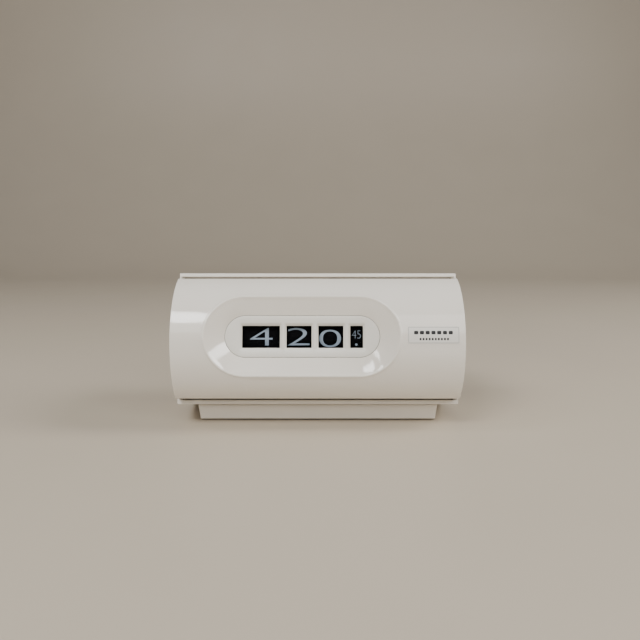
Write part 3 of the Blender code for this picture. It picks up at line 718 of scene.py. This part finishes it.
@dataclass
class Nameplate:
    """Thin plate let into the barrel, with two plain rows of bars in place of any lettering."""

    x: float = 68.5
    z: float = 1.0
    half_w: float = 15.3
    half_h: float = 5.15
    outer_r: float = 44.18
    inner_r: float = 43.5
    corner: float = 0.4
    ink_sunk: float = 0.1
    bar_proud: float = 0.05
    # Sizes of the grey lines of painted shade just inside the plate's edge.
    border_proud: float = 0.02
    border_inset: float = 0.35
    border_line: float = 0.28
    border_corner: float = 0.05
    bars: tuple[BarRow, ...] = (BarRow(count=7, left=-11.6, pitch=3.4, width=2.5, low=0.4,
                                       high=2.5, corner=0.5),
                                BarRow(count=10, left=-8.4, pitch=1.8, width=1.1, low=-3.1,
                                       high=-1.7, corner=0.3))
    columns: int = 16
    rows: int = 10

    def wrapped(self, bm: BMesh, low: Flat, high: Flat, radii: Flat, corner: float) -> None:
        """Add a rounded rectangle bent to the barrel.

        Args:
            bm: Mesh to add to.
            low: Lower left corner as (x, z).
            high: Upper right corner as (x, z).
            radii: Inner and outer radius.
            corner: Corner radius.
        """
        loops = []
        for radius in radii:
            lines = []
            for j in range(self.rows + 1):
                z = low[1] + (high[1] - low[1]) * j / self.rows
                angle = z / self.outer_r
                reach = min(z - low[1], high[1] - z)
                pull = 0.0
                if reach < corner:
                    pull = corner - math.sqrt(max(corner ** 2 - (corner - reach) ** 2, 0))
                line = []
                for i in range(self.columns + 1):
                    x = low[0] + pull + (high[0] - low[0] - 2 * pull) * i / self.columns
                    line.append(bm.verts.new((x, -radius * math.cos(angle),
                                              radius * math.sin(angle))))
                lines.append(line)
            bridge(bm, lines, around=False)
            loop = lines[0] + [line[-1] for line in lines[1:]] + lines[-1][-2::-1]
            loops.append(loop + [line[0] for line in lines[-2:0:-1]])
        bridge(bm, loops)

    def build(self) -> list[Object]:
        """Build the plate, a thin grey line of painted shade just inside its edge, and the two rows
        of bars.
        """
        low = (self.x - self.half_w, self.z - self.half_h)
        high = (self.x + self.half_w, self.z + self.half_h)
        base = Piece("blank_plate", "case", "plate", PLATE_SATIN, ("nameplate",)).build(
            lambda bm: self.wrapped(bm, low, high, (self.inner_r, self.outer_r), self.corner))

        def add_bars(bm: BMesh) -> None:
            """A bold broken bar above a fine dotted one."""
            radii = (self.outer_r - self.ink_sunk, self.outer_r + self.bar_proud)
            for row in self.bars:
                for i in range(row.count):
                    left = self.x + row.left + i * row.pitch
                    self.wrapped(bm, (left, self.z + row.low),
                                 (left + row.width, self.z + row.high), radii, row.corner)
        marks = Piece("plain_marks", "case", "plate", SMOKE_INK).build(add_bars)

        def add_border(bm: BMesh) -> None:
            """Four fine grey lines just inside the plate's edge: painted shade standing for the
            dark gap round the plate.
            """
            inset, line = self.border_inset, self.border_line
            radii = (self.outer_r - self.ink_sunk, self.outer_r + self.border_proud)
            left, right = low[0] + inset, high[0] - inset
            bottom, top = low[1] + inset, high[1] - inset
            for a, b in (((left, bottom), (right, bottom + line)),
                         ((left, top - line), (right, top)),
                         ((left, bottom + line), (left + line, top - line)),
                         ((right - line, bottom + line), (right, top - line))):
                self.wrapped(bm, a, b, radii, self.border_corner)
        # Grey lines of painted shade for the gap round the plate.
        gap_shade_line = Piece("plate_gap_shade", "case", "plate", GAP_SHADE_GREY).build(add_border)
        return [base, marks, gap_shade_line]


# ---------------------------------------------------------------- numeral drums

@dataclass
class NumeralDrum:
    """One black drum with its pale numerals, riding on a turning body."""

    body: str
    left: float
    right: float
    labels: tuple[str, ...]
    shown: int
    lead: float
    digit_w: float
    digit_h: float
    middle: float
    dots: bool = False
    radius: float = 23.95
    bore: float = 2.25
    rim_wall: float = 1.3
    hub_wall: float = 1.6
    web_in: float = 1.4
    edge_round: float = 0.35
    sides: int = 144
    weight: float = -0.014
    centre: Flat = (-4.5, 1.0)
    ink_proud: float = 0.05
    ink_sunk: float = 0.1
    dot_r: float = 0.75
    slice_mm: float = 0.8

    def drum_profile(self) -> list[Flat]:
        """Section through the rim, web and hub, with small rounded rim edges."""
        soft, web = self.edge_round, self.left + self.web_in
        rim, hub = self.radius - self.rim_wall, self.bore + self.hub_wall
        shoulder = self.radius - soft
        left_edge = [(self.left + soft - soft * math.cos(a), shoulder + soft * math.sin(a))
                     for a in (0, math.pi / 4, math.pi / 2)]
        right_edge = [(self.right - soft + soft * math.cos(a), shoulder + soft * math.sin(a))
                      for a in (math.pi / 2, math.pi / 4, 0)]
        inside = [(self.right, rim), (web, rim), (web, hub), (self.right, hub),
                  (self.right, self.bore), (self.left, self.bore)]
        return left_edge + right_edge + inside

    def build(self) -> list[Object]:
        """Build the drum and all its numerals."""
        which = self.body.removesuffix("_drum")
        roller = Piece(f"{which}_roller", self.body, "drum", DRUM_BLACK, (self.body,))
        numerals = Piece(f"{which}_numerals", self.body, "drum", NUMERAL_INK, smooth_angle=50.0)
        return [roller.build(lambda bm: turned(bm, self.drum_profile(), self.centre, self.sides)),
                numerals.build(self.fill_numerals)]

    def fill_numerals(self, bm: BMesh) -> None:
        """Fill the mesh with every numeral, wrapped round the rim."""
        step = 360 / len(self.labels)
        for index, label in enumerate(self.labels):
            angle = math.radians((index - self.shown) * step + self.lead)
            self.add_label(bm, label, angle)
            if self.dots:
                self.add_dot(bm, angle + math.radians(step / 2))

    def flat_label(self, label: str) -> BMesh:
        """A numeral as a thin flat mesh in millimetres, centred, x to the right and y up.

        Args:
            label: The numeral's figures.

        Returns:
            The flat mesh, to be freed by the caller.
        """
        curve = bpy.data.curves.new("figures", "FONT")
        curve.body = label
        curve.size = 1.0
        curve.offset = self.weight
        curve.resolution_u = 10
        curve.space_character = 0.93 if len(label) == 2 else 1.0
        holder = bpy.data.objects.new("figures", curve)
        bpy.context.scene.collection.objects.link(holder)
        bpy.context.view_layer.update()
        graph = bpy.context.evaluated_depsgraph_get()
        mesh = bpy.data.meshes.new_from_object(holder.evaluated_get(graph))
        flat = bmesh.new()
        flat.from_mesh(mesh)
        bpy.data.objects.remove(holder, do_unlink=True)
        bpy.data.curves.remove(curve)
        bpy.data.meshes.remove(mesh)
        bmesh.ops.remove_doubles(flat, verts=flat.verts, dist=0.0005)
        xs = [v.co.x for v in flat.verts]
        ys = [v.co.y for v in flat.verts]
        wide = self.digit_w if label != "1" else self.digit_w * 0.5
        size_x, size_y = max(xs) - min(xs), max(ys) - min(ys)
        for vertex in flat.verts:
            vertex.co.x = (vertex.co.x - min(xs) - size_x / 2) * wide / size_x
            vertex.co.y = (vertex.co.y - min(ys) - size_y / 2) * self.digit_h / size_y
        slices = max(int(self.digit_h / self.slice_mm), 4)
        for i in range(1, slices):
            height = self.digit_h * (i / slices - 0.5)
            everything = list(flat.verts) + list(flat.edges) + list(flat.faces)
            bmesh.ops.bisect_plane(flat, geom=everything, plane_co=(0, height, 0),
                                   plane_no=(0, 1, 0), dist=1e-5)
        return flat

    def add_label(self, bm: BMesh, label: str, angle: float) -> None:
        """Wrap one numeral round the rim.

        Args:
            bm: Mesh to add to.
            label: The numeral.
            angle: Its middle's angle above straight ahead, in radians.
        """
        flat = self.flat_label(label)
        proud, sunk = self.radius + self.ink_proud, self.radius - self.ink_sunk
        near = {v: self.on_rim(bm, v.co.x, v.co.y, proud, angle) for v in flat.verts}
        far = {v: self.on_rim(bm, v.co.x, v.co.y, sunk, angle) for v in flat.verts}
        for face in flat.faces:
            bm.faces.new([near[v] for v in face.verts])
            bm.faces.new([far[v] for v in reversed(face.verts)])
        for edge in flat.edges:
            if len(edge.link_faces) == 1:
                a, b = edge.verts
                bm.faces.new((near[a], near[b], far[b], far[a]))
        flat.free()

    def on_rim(self, bm: BMesh, x: float, up: float, radius: float, angle: float) -> BMVert:
        """Add a vertex on the rim, up millimetres along it from angle."""
        turn = angle + up / self.radius
        return bm.verts.new((self.middle + x, self.centre[0] - radius * math.cos(turn),
                             self.centre[1] + radius * math.sin(turn)))

    def add_dot(self, bm: BMesh, angle: float) -> None:
        """Add a small round dot between two numerals."""
        rows = []
        for radius in (self.radius - self.ink_sunk, self.radius + self.ink_proud):
            rows.append([self.on_rim(bm, x, up, radius, angle)
                         for x, up in circle((0, 0), self.dot_r, 20)])
        bridge(bm, rows)
        for row in rows:
            bm.faces.new(row)


def drums() -> list[NumeralDrum]:
    """The four drums, set to the time they show."""
    hours = tuple(str(h) for h in range(1, 13))
    tens = tuple("012345012345")
    units = tuple("0123456789")
    seconds = tuple(f"{s:02d}" for s in range(0, 60, 5))
    return [
        NumeralDrum("hours_drum", left=-46.9, right=-22.6, labels=hours, shown=3, lead=0.0,
                    digit_w=13.7, digit_h=10.8, middle=-34.6),
        NumeralDrum("tens_drum", left=-19.4, right=-3.4, labels=tens, shown=2, lead=0.0,
                    digit_w=13.5, digit_h=10.8, middle=-11.8),
        NumeralDrum("minutes_drum", left=0.2, right=15.9, labels=units, shown=0, lead=-2.6,
                    digit_w=13.4, digit_h=10.8, middle=7.6),
        NumeralDrum("seconds_drum", left=19.7, right=27.9, labels=seconds, shown=9, lead=3.3,
                    digit_w=5.5, digit_h=5.0, middle=23.7, dots=True, weight=-0.026),
    ]


# ---------------------------------------------------------------- case, cover and pedestal

@dataclass
class RearCase:
    """Open sleeve whose thin edges show above and below the barrel."""

    half_w: float = 88.3
    top: float = 42.4
    bottom: float = -40.7
    top_in: float = 40.2
    bottom_in: float = -38.1
    side_wall: float = 2.7
    lip_wall: float = 0.7
    lip_depth: float = 2.5
    front: float = -14.8
    back: float = 34.5
    corner: float = 0.5
    edge_round: float = 0.3

    def fill(self, bm: BMesh) -> None:
        """Fill the sleeve's mesh."""
        outer = rounded_rect((-self.half_w, self.bottom), (self.half_w, self.top), self.corner)
        inner_w = self.half_w - self.side_wall
        inner = rounded_rect((-inner_w, self.bottom_in), (inner_w, self.top_in), self.corner * 0.5)
        lip_w = self.half_w - self.lip_wall
        lip = rounded_rect((-lip_w, self.bottom_in), (lip_w, self.top_in), self.corner * 0.5)
        section = ((self.front + self.lip_depth, inner), (self.front, lip), (self.front, outer),
                   (self.back, outer), (self.back, inner))
        rows = add_rows(bm, [[(x, y, z) for x, z in loop] for y, loop in section])
        bridge(bm, rows + [rows[0]])

    def build(self) -> Object:
        """Build the sleeve and round its edges."""
        shape = Piece("case_sleeve", "case", "shell", IVORY_GLOSS, ("rear_case",)).build(self.fill)
        return soften(shape, self.edge_round)


@dataclass
class BackCover:
    """Flat back cover with its openings, vents, screws and battery door."""

    half_w: float = 88.3
    top: float = 42.4
    bottom: float = -40.7
    front: float = 34.8
    back: float = 37.0
    corner: float = 0.5
    door_x: float = -68.5
    door_half_w: float = 17.0
    door_half_h: float = 27.0
    gap: float = 0.3
    wheel_x: Flat = (35.0, 41.0)
    wheel_z: Flat = (-12.5, 14.5)
    vent_x: Flat = (55.0, 77.0)
    vent_z: tuple[float, ...] = (-12.0, -6.0, 0.0, 6.0, 12.0)
    vent_half_h: float = 1.0
    screw_x: float = 79.5
    screw_z: Flat = (-32.0, 33.3)
    head_r: float = 3.0
    head_deep: float = 1.0
    slot_half: float = 0.4
    head_recess: float = 0.05
    head_round: float = 0.12
    slot_floor: float = 0.35
    shank_r: float = 1.3
    shank_end: float = 16.0
    pan_half_w: float = 8.0
    pan_z: Flat = (15.6, 24.4)
    pan_slope: float = 0.6
    pan_deep: float = 0.9
    rib_z: tuple[float, ...] = (17.4, 19.1, 20.8, 22.5)
    rib_half_w: float = 6.4
    rib_half_h: float = 0.35
    edge_round: float = 0.3

    def screw_places(self) -> list[Flat]:
        """(x, z) of the four screws, in the order of their nodes."""
        return [(x, z) for x in (-self.screw_x, self.screw_x) for z in self.screw_z]

    def openings(self) -> list[Loop]:
        """Outlines of every opening through the cover."""
        w, h = self.door_half_w + self.gap, self.door_half_h + self.gap
        wheel_low, wheel_high = zip(self.wheel_x, self.wheel_z)
        holes = [rounded_rect((self.door_x - w, -h), (self.door_x + w, h), 1.0),
                 rounded_rect(wheel_low, wheel_high, 1.5)]
        for z in self.vent_z:
            holes.append(rounded_rect((self.vent_x[0], z - self.vent_half_h),
                                      (self.vent_x[1], z + self.vent_half_h), 0.95))
        holes += [circle(place, self.head_r + self.gap) for place in self.screw_places()]
        return holes

    def build(self) -> list[Object]:
        """Build the cover, door and screws."""
        outline = rounded_rect((-self.half_w, self.bottom), (self.half_w, self.top), self.corner)
        cover = Piece("case_back", "case", "shell", IVORY_MATT, ("back_cover",)).build(
            lambda bm: plate(bm, outline, self.openings(), self.front, self.back))
        soften(cover, self.edge_round, 2)
        made = [cover, *self.build_door()]
        for number, place in enumerate(self.screw_places(), start=1):
            made.append(self.build_screw(number, place))
        return made

    def on_door(self, half_w: float, low_z: float, high_z: float, corner: float) -> Loop:
        """A rounded rectangle in the middle of the door's width."""
        return rounded_rect((self.door_x - half_w, low_z), (self.door_x + half_w, high_z), corner)

    def build_door(self) -> list[Object]:
        """Build the battery door with a scooped finger grip, and the grip's ribs."""
        outline = self.on_door(self.door_half_w, -self.door_half_h, self.door_half_h, 0.8)
        slope, (pan_low, pan_high) = self.pan_slope, self.pan_z
        pan = self.on_door(self.pan_half_w, pan_low, pan_high, 1.5)
        floor = self.on_door(self.pan_half_w - slope, pan_low + slope, pan_high - slope, 1.2)

        def fill(bm: BMesh) -> None:
            """Door plate with a shallow pan let into it."""
            near = add_rows(bm, [[(x, y, z) for x, z in outline] for y in (self.front, self.back)])
            bridge(bm, near)
            sunk = add_rows(bm, [[(x, y, z) for x, z in loop] for y, loop in (
                (self.back, pan), (self.back - self.pan_deep, floor))])
            bridge(bm, sunk)
            fill_flat(bm, [near[1], sunk[0]])
            fill_flat(bm, [near[0]])
            fill_flat(bm, [sunk[1]])
        door = Piece("battery_lid", "battery_door", "shell", IVORY_MATT, ("battery_door",))

        def add_ribs(bm: BMesh) -> None:
            """Grip ribs standing in the pan."""
            for z in self.rib_z:
                rib = self.on_door(self.rib_half_w, z - self.rib_half_h, z + self.rib_half_h, 0.3)
                plate(bm, rib, [], self.back - self.pan_deep - 0.05, self.back - 0.1)
        ribs = Piece("lid_grip_ribs", "battery_door", "shell", IVORY_MATT)
        return [soften(door.build(fill), self.edge_round, 2), ribs.build(add_ribs)]

    def build_screw(self, number: int, place: Flat) -> Object:
        """Build one screw: a head with a straight slot, and its shank.

        Args:
            number: The screw's number.
            place: Its (x, z) place.

        Returns:
            The screw.
        """
        head_front, head_back = self.back - self.head_deep, self.back - self.head_recess
        chord = math.degrees(math.acos(self.slot_half / self.head_r))

        def fill(bm: BMesh) -> None:
            """A disc with two part discs on it, which leave the slot, on a plain shank."""
            for facing in (180, 0):
                side = arc(place, self.head_r, facing - chord, facing + chord, 24)
                plate(bm, side, [], head_front + self.slot_floor, head_back)
            plate(bm, circle(place, self.head_r), [], head_front,
                  head_front + self.slot_floor + 0.01)
            plate(bm, circle(place, self.shank_r, 24), [], self.shank_end, head_front)
        screw = Piece(f"cover_bolt_{number}", "case", "steel", STEEL, (f"cover_screw_{number}",))
        return soften(screw.build(fill), self.head_round, 2)


def soft_copy(node: str, name: str, slot: str, finish: Finish, width_mm: float) -> Object:
    """A case piece with a node's own shape and rounded edges, which stands for the node.

    Args:
        node: The node whose shape it takes.
        name: The new piece's name.
        slot: Material slot.
        finish: Its finish.
        width_mm: Width of the rounding.

    Returns:
        The piece.
    """
    def fill(bm: BMesh) -> None:
        """Take the node's shape and merge its flat faces."""
        bm.from_mesh(frame["nodes"][node].data)
        bmesh.ops.remove_doubles(bm, verts=bm.verts, dist=1e-6)
        bmesh.ops.dissolve_limit(bm, angle_limit=math.radians(0.5), verts=bm.verts,
                                 edges=bm.edges)
    piece = Piece(name, "case", slot, finish, (node,), place=Matrix.Identity(4))
    return soften(piece.build(fill), width_mm)


@dataclass
class Stand:
    """Wedge pedestal and the four pads it stands on."""

    edge_round: float = 1.0
    rear_pad_round: float = 0.5
    front_pad_round: float = 0.2

    def build(self) -> list[Object]:
        """Build the pedestal and the pads."""
        made = [soft_copy("pedestal", "wedge_pedestal", "shell", IVORY_GLOSS, self.edge_round)]
        for side in ("left", "right"):
            made.append(soft_copy(f"rear_foot_{side}", f"rear_pad_{side}", "rubber", RUBBER_BLACK,
                                  self.rear_pad_round))
            made.append(self.front_pad(side))
        return made

    def front_pad(self, side: str) -> Object:
        """Build one round front pad from its node's box.

        Args:
            side: "left" or "right".

        Returns:
            The pad.
        """
        low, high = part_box(f"front_foot_{side}")
        middle, radius = (low + high) / 2, (high.x - low.x) / 2

        def fill(bm: BMesh) -> None:
            """A low disc."""
            outline = circle((middle.x, middle.y), radius, 64)
            rows = add_rows(bm, [[(x, y, z) for x, y in outline] for z in (low.z, high.z)])
            bridge(bm, rows)
            for row in rows:
                bm.faces.new(row)
        pad = Piece(f"front_pad_{side}", "case", "rubber", RUBBER_BLACK, (f"front_foot_{side}",),
                    place=Matrix.Identity(4))
        return soften(pad.build(fill), self.front_pad_round, 2)


@dataclass
class SettingWheel:
    """Knurled wheel that stands a little proud of the cover for setting the time."""

    radius: float = 17.45
    left: float = 36.0
    right: float = 40.0
    centre: Flat = (21.5, 1.0)
    bore_r: float = 1.5
    knurls: int = 60
    per_knurl: int = 6
    depth: float = 0.55
    bevel_w: float = 0.5
    bevel_in: float = 1.2

    def fill(self, bm: BMesh) -> None:
        """Fill the wheel's mesh: rounded knurls between two chamfered faces, round a bore."""
        count = self.knurls * self.per_knurl
        profile = ((self.left, -self.bevel_in), (self.left + self.bevel_w, 0.0),
                   (self.right - self.bevel_w, 0.0), (self.right, -self.bevel_in))
        mid_y, mid_z = self.centre
        rings = []
        for x, shrink in profile:
            deep = self.depth * (1 if shrink == 0 else 0.2)
            ring = []
            for i in range(count):
                wave = 0.5 + 0.5 * math.cos(2 * math.pi * i / self.per_knurl)
                radius = self.radius + shrink - deep * (1 - wave)
                angle = 2 * math.pi * i / count
                ring.append((x, mid_y + radius * math.cos(angle), mid_z + radius * math.sin(angle)))
            rings.append(ring)
        bore = circle(self.centre, self.bore_r, count)
        rings += [[(x, y, z) for y, z in bore] for x in (self.right, self.left)]
        rows = add_rows(bm, rings)
        bridge(bm, rows + [rows[0]])

    def build(self) -> Object:
        """Build the wheel."""
        wheel = Piece("knurled_wheel", "setting_shaft", "black", BLACK_SATIN, ("setting_wheel",))
        return wheel.build(self.fill)


# ---------------------------------------------------------------- studio

@dataclass(frozen=True)
class SoftLight:
    """A soft rectangular light, in metres and watts."""

    name: str
    place: tuple[float, float, float]
    size: Flat
    power: float
    color: Color = (1.0, 1.0, 1.0)

    def hang(self, aim: Vector) -> None:
        """Hang the light.

        Args:
            aim: The point it faces.
        """
        data = bpy.data.lights.new(self.name, "AREA")
        data.shape = "RECTANGLE"
        data.size, data.size_y = self.size
        data.energy = self.power
        data.color = self.color
        lamp = bpy.data.objects.new(self.name, data)
        lamp.location = self.place
        lamp.rotation_euler = (aim - Vector(self.place)).to_track_quat("-Z", "Y").to_euler()
        bpy.context.scene.collection.objects.link(lamp)


@dataclass
class Studio:
    """Pale floor that sweeps up behind, soft lights and the camera, in metres."""

    camera_place: tuple[float, float, float] = (0.0014, -0.421, 0.128)
    camera_pitch: float = 81.25
    lens_mm: float = 36.56
    world_color: Color = (0.84, 0.87, 0.91)
    world_level: float = 0.15
    floor_half_w: float = 3.0
    floor_front: float = -3.0
    floor_back: float = 1.0
    curve_r: float = 0.6
    wall_top: float = 2.2
    aim: tuple[float, float, float] = (0.0, 0.0, 0.05)
    lights: tuple[SoftLight, ...] = (
        SoftLight("soft_front", (0.0, -1.75, 1.45), (2.6, 1.2), 18.0, (1.0, 0.99, 0.97)),
        SoftLight("window_left", (-0.54, -0.92, 1.2), (0.6, 0.46), 12.0, (0.98, 0.99, 1.0)),
        SoftLight("side_right", (1.14, -0.14, 0.92), (0.5, 0.8), 14.0),
        SoftLight("side_left", (-0.9, -0.3, 1.2), (0.25, 0.5), 4.0),
        SoftLight("rim_right", (0.95, -1.15, 0.8), (0.3, 0.5), 4.0),
        SoftLight("rim_left", (-0.95, -1.15, 0.5), (0.25, 0.4), 2.0),
    )

    def build(self) -> None:
        """Lay the floor, hang the lights and set the camera."""
        self.lay_floor()
        world = bpy.data.worlds.new("soft_room")
        world.use_nodes = True
        sky = world.node_tree.nodes["Background"]
        sky.inputs["Color"].default_value = (*self.world_color, 1.0)
        sky.inputs["Strength"].default_value = self.world_level
        bpy.context.scene.world = world
        for light in self.lights:
            light.hang(Vector(self.aim))
        camera_data = bpy.data.cameras.new("front_view")
        camera_data.lens = self.lens_mm
        camera_data.sensor_width = 36.0
        camera_data.clip_start = 0.01
        camera = bpy.data.objects.new("front_view", camera_data)
        camera.location = self.camera_place
        camera.rotation_euler = (math.radians(self.camera_pitch), 0, 0)
        bpy.context.scene.collection.objects.link(camera)
        bpy.context.scene.camera = camera

    def lay_floor(self) -> None:
        """Add the floor, which curves up into a backdrop."""
        profile = [(self.floor_front, 0.0), (self.floor_back, 0.0)]
        profile += [(self.floor_back + y, self.curve_r + z)
                    for y, z in arc((0, 0), self.curve_r, -80, 0, 10)]
        profile.append((self.floor_back + self.curve_r, self.wall_top))
        mesh = bpy.data.meshes.new("studio_sweep")
        bm = bmesh.new()
        rows = [[(x, y, z) for y, z in profile] for x in (self.floor_half_w, -self.floor_half_w)]
        bridge(bm, add_rows(bm, rows), around=False)
        bmesh.ops.recalc_face_normals(bm, faces=bm.faces)
        bm.to_mesh(mesh)
        bm.free()
        mesh.materials.append(FLOOR_PALE.material())
        mesh.shade_smooth()
        sheet = bpy.data.objects.new("studio_sweep", mesh)
        bpy.context.scene.collection.objects.link(sheet)


# ---------------------------------------------------------------- putting it together

def dress_nodes() -> None:
    """Give every node that keeps its own shape the finish of its slot."""
    slots = {entry["node"]: entry["material_slot"] for entry in frame["record"]["subparts"]}
    for node, shape in frame["nodes"].items():
        material = SLOT_FINISHES[slots[node]].material()
        if not shape.material_slots:
            shape.data.materials.append(material)
        for holder in shape.material_slots:
            holder.material = material


def report(pieces: Sequence[Object]) -> None:
    """Log the name and size of each piece.

    Args:
        pieces: The pieces.
    """
    for piece in pieces:
        size = [round(length / MM, 1) for length in piece.dimensions]
        LOG.info("%s %s mm, %d vertices", piece.name, size, len(piece.data.vertices))


def write_sizes() -> None:
    """Bring the view layer up to date.
    """
    bpy.context.view_layer.update()


def main() -> None:
    """Build the whole clock, piece by piece."""
    logging.basicConfig(level=logging.INFO, format="%(message)s")
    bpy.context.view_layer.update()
    Studio().build()
    dress_nodes()
    report([FrontShell().build(), FacePanel().build()])
    report(Nameplate().build())
    for drum in drums():
        report(drum.build())
    report([RearCase().build()])
    report(BackCover().build())
    report(Stand().build())
    report([SettingWheel().build()])
    write_sizes()


if __name__ == "__main__":
    main()
